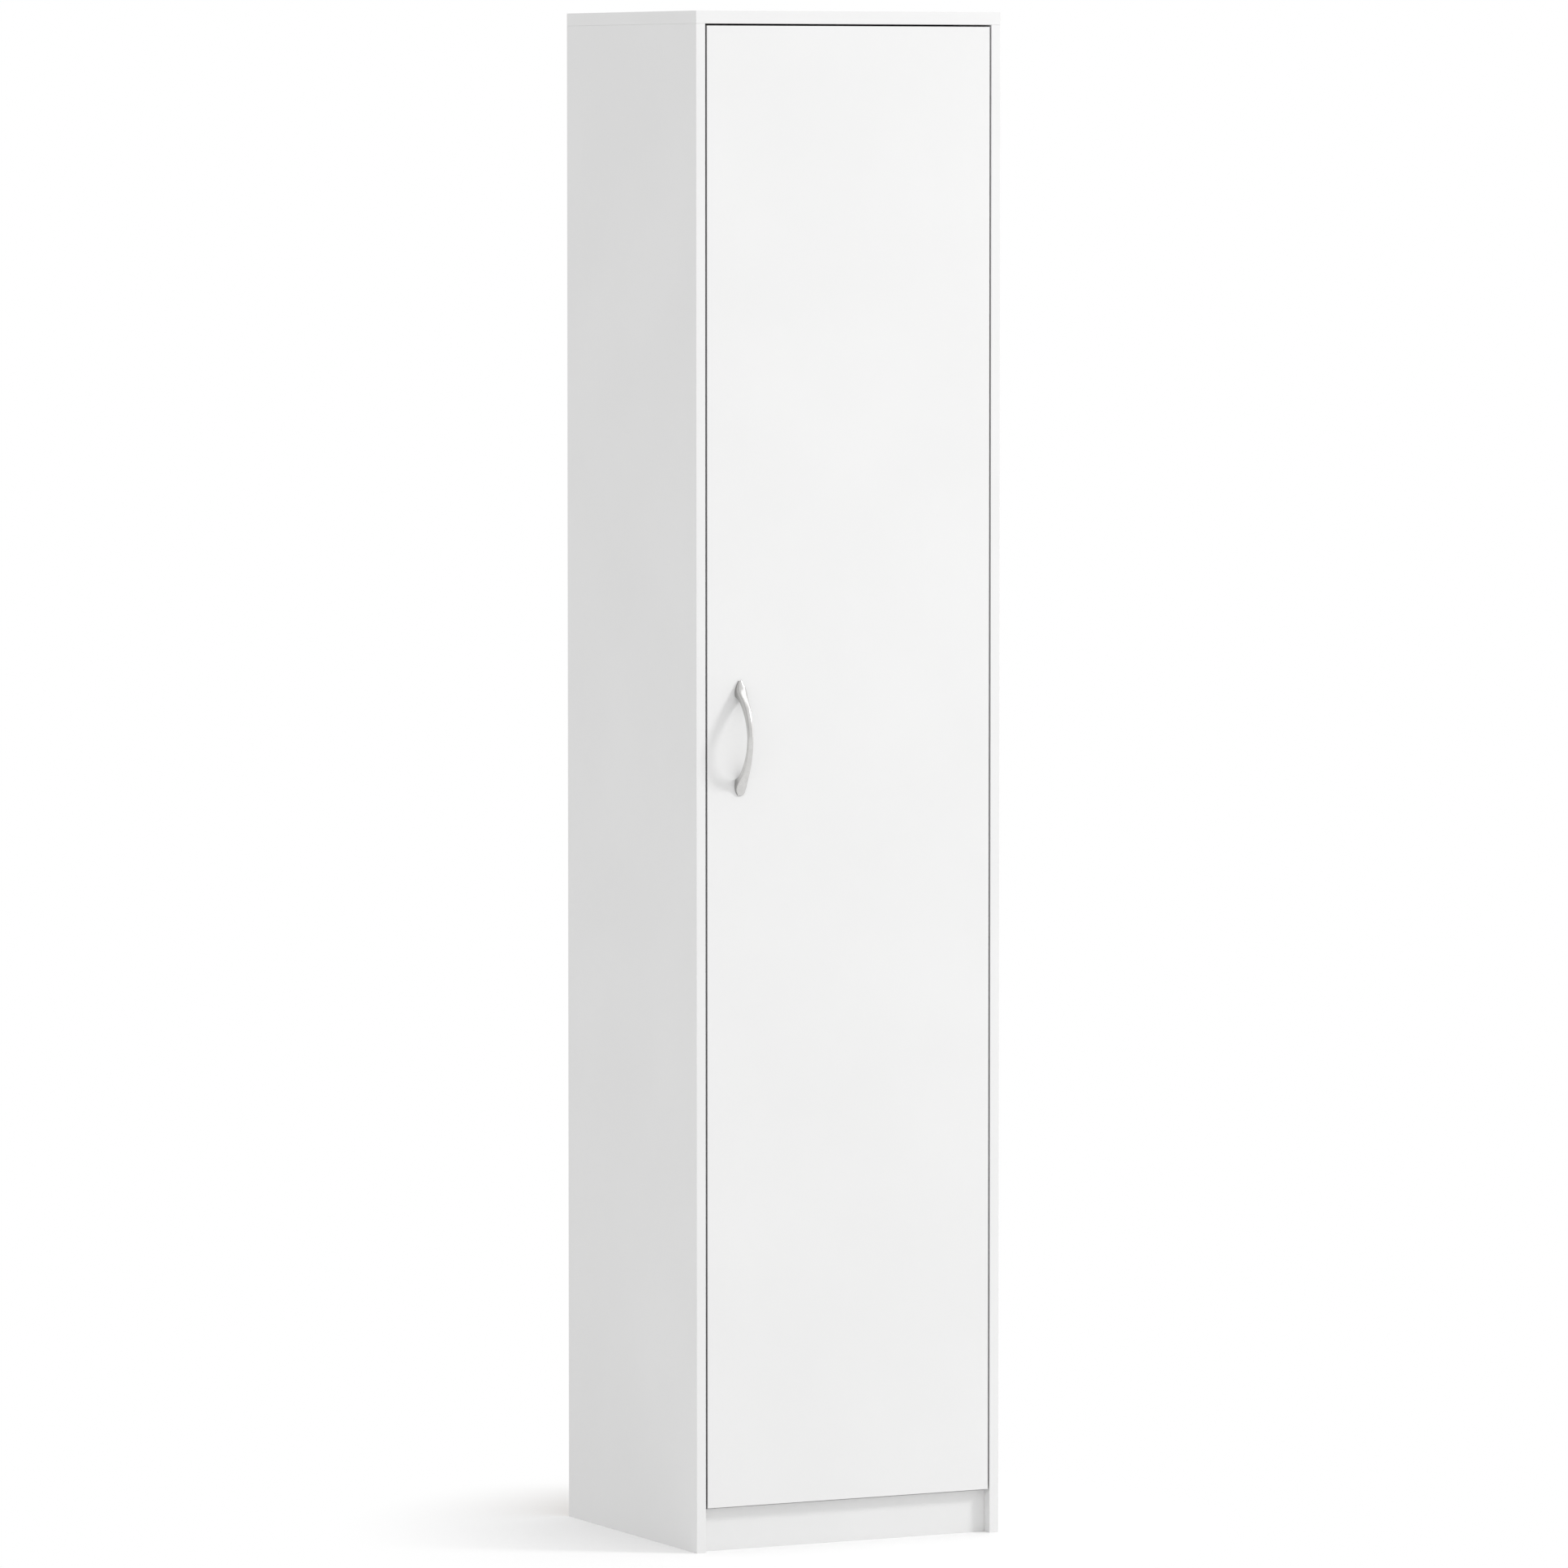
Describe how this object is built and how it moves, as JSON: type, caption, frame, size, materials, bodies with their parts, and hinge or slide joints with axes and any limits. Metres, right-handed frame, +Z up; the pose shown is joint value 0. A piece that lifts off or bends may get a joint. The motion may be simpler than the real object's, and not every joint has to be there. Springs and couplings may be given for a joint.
{
  "type": "broom cupboard",
  "caption": "Tall narrow white cupboard with an inset door on concealed cup hinges, a bow handle, a high fixed shelf and tall space below for brooms.",
  "frame": {"origin": "on the floor, under the middle of the whole object, handle included", "axes": "+X to the right of someone facing the door, +Y from the door to the back, +Z up"},
  "size_m": [0.4, 0.38, 1.805],
  "materials": {
    "white_board": "white melamine on chipboard, fine satin grain",
    "back_sheet": "white lacquer inside, bare brown fibreboard behind",
    "handle_metal": "satin nickel",
    "dowel_wood": "fluted beech",
    "white_plastic": "moulded, matt",
    "bumper_rubber": "soft clear silicone",
    "zinc": "die-cast zinc",
    "fixing_steel": "zinc plated",
    "bracket_steel": "zinc plated sheet",
    "hinge_steel": "nickel plated"
  },
  "bodies": {
    "carcass": {"side_panel_left": "white_board", "side_panel_right": "white_board", "top_panel": "white_board", "bottom_panel": "white_board", "fixed_shelf": "white_board", "plinth_board": "white_board", "back_panel": "back_sheet", "dowels": "dowel_wood", "cam_caps": "white_plastic", "door_stop_blocks": "white_plastic", "door_bumpers": "bumper_rubber", "cam_locks": "zinc", "cam_bolts": "fixing_steel", "door_stop_screws": "fixing_steel", "wall_bracket_screws": "fixing_steel", "hinge_plate_screws": "fixing_steel", "hinge_arm_screws": "fixing_steel", "panel_nails": "fixing_steel", "wall_bracket_left": "bracket_steel", "wall_bracket_right": "bracket_steel", "hinge_arm_bottom": "hinge_steel", "hinge_plate_bottom": "hinge_steel", "hinge_arm_middle": "hinge_steel", "hinge_plate_middle": "hinge_steel", "hinge_arm_top": "hinge_steel", "hinge_plate_top": "hinge_steel", "hinge_inner_arm_pins": "hinge_steel", "hinge_outer_arm_pins": "hinge_steel", "hinge_springs": "hinge_steel"},
    "hinge_outer_links": {"hinge_outer_link_bottom": "hinge_steel", "hinge_outer_link_middle": "hinge_steel", "hinge_outer_link_top": "hinge_steel"},
    "hinge_inner_links": {"hinge_inner_link_bottom": "hinge_steel", "hinge_inner_link_middle": "hinge_steel", "hinge_inner_link_top": "hinge_steel"},
    "door": {"door_panel": "white_board", "bow_handle": "handle_metal", "handle_screws": "fixing_steel", "hinge_cup_bottom": "hinge_steel", "hinge_cup_middle": "hinge_steel", "hinge_cup_top": "hinge_steel", "hinge_cup_screws": "fixing_steel", "hinge_inner_cup_pins": "hinge_steel", "hinge_outer_cup_pins": "hinge_steel"}
  },
  "joints": [
    {"name": "outer_link_turn", "type": "hinge", "parent": "carcass", "child": "hinge_outer_links", "pos_m": [0.16146, -0.155, 0.92], "axis": [0, 0, 1], "range_deg": [0, 19.1]},
    {"name": "door_turn", "type": "hinge", "parent": "hinge_outer_links", "child": "door", "pos_m": [0.17254, -0.15348, 0.92], "axis": [0, 0, 1], "range_deg": [0, 76]},
    {"name": "inner_link_turn", "type": "hinge", "parent": "carcass", "child": "hinge_inner_links", "pos_m": [0.16801, -0.15334, 0.92], "axis": [0, 0, 1], "range_deg": [0, 73]}
  ],
  "couplings": [
    {"joint": "outer_link_turn", "follows": "door_turn", "ratio": 0.25},
    {"joint": "inner_link_turn", "follows": "door_turn", "ratio": 0.9596}
  ]
}
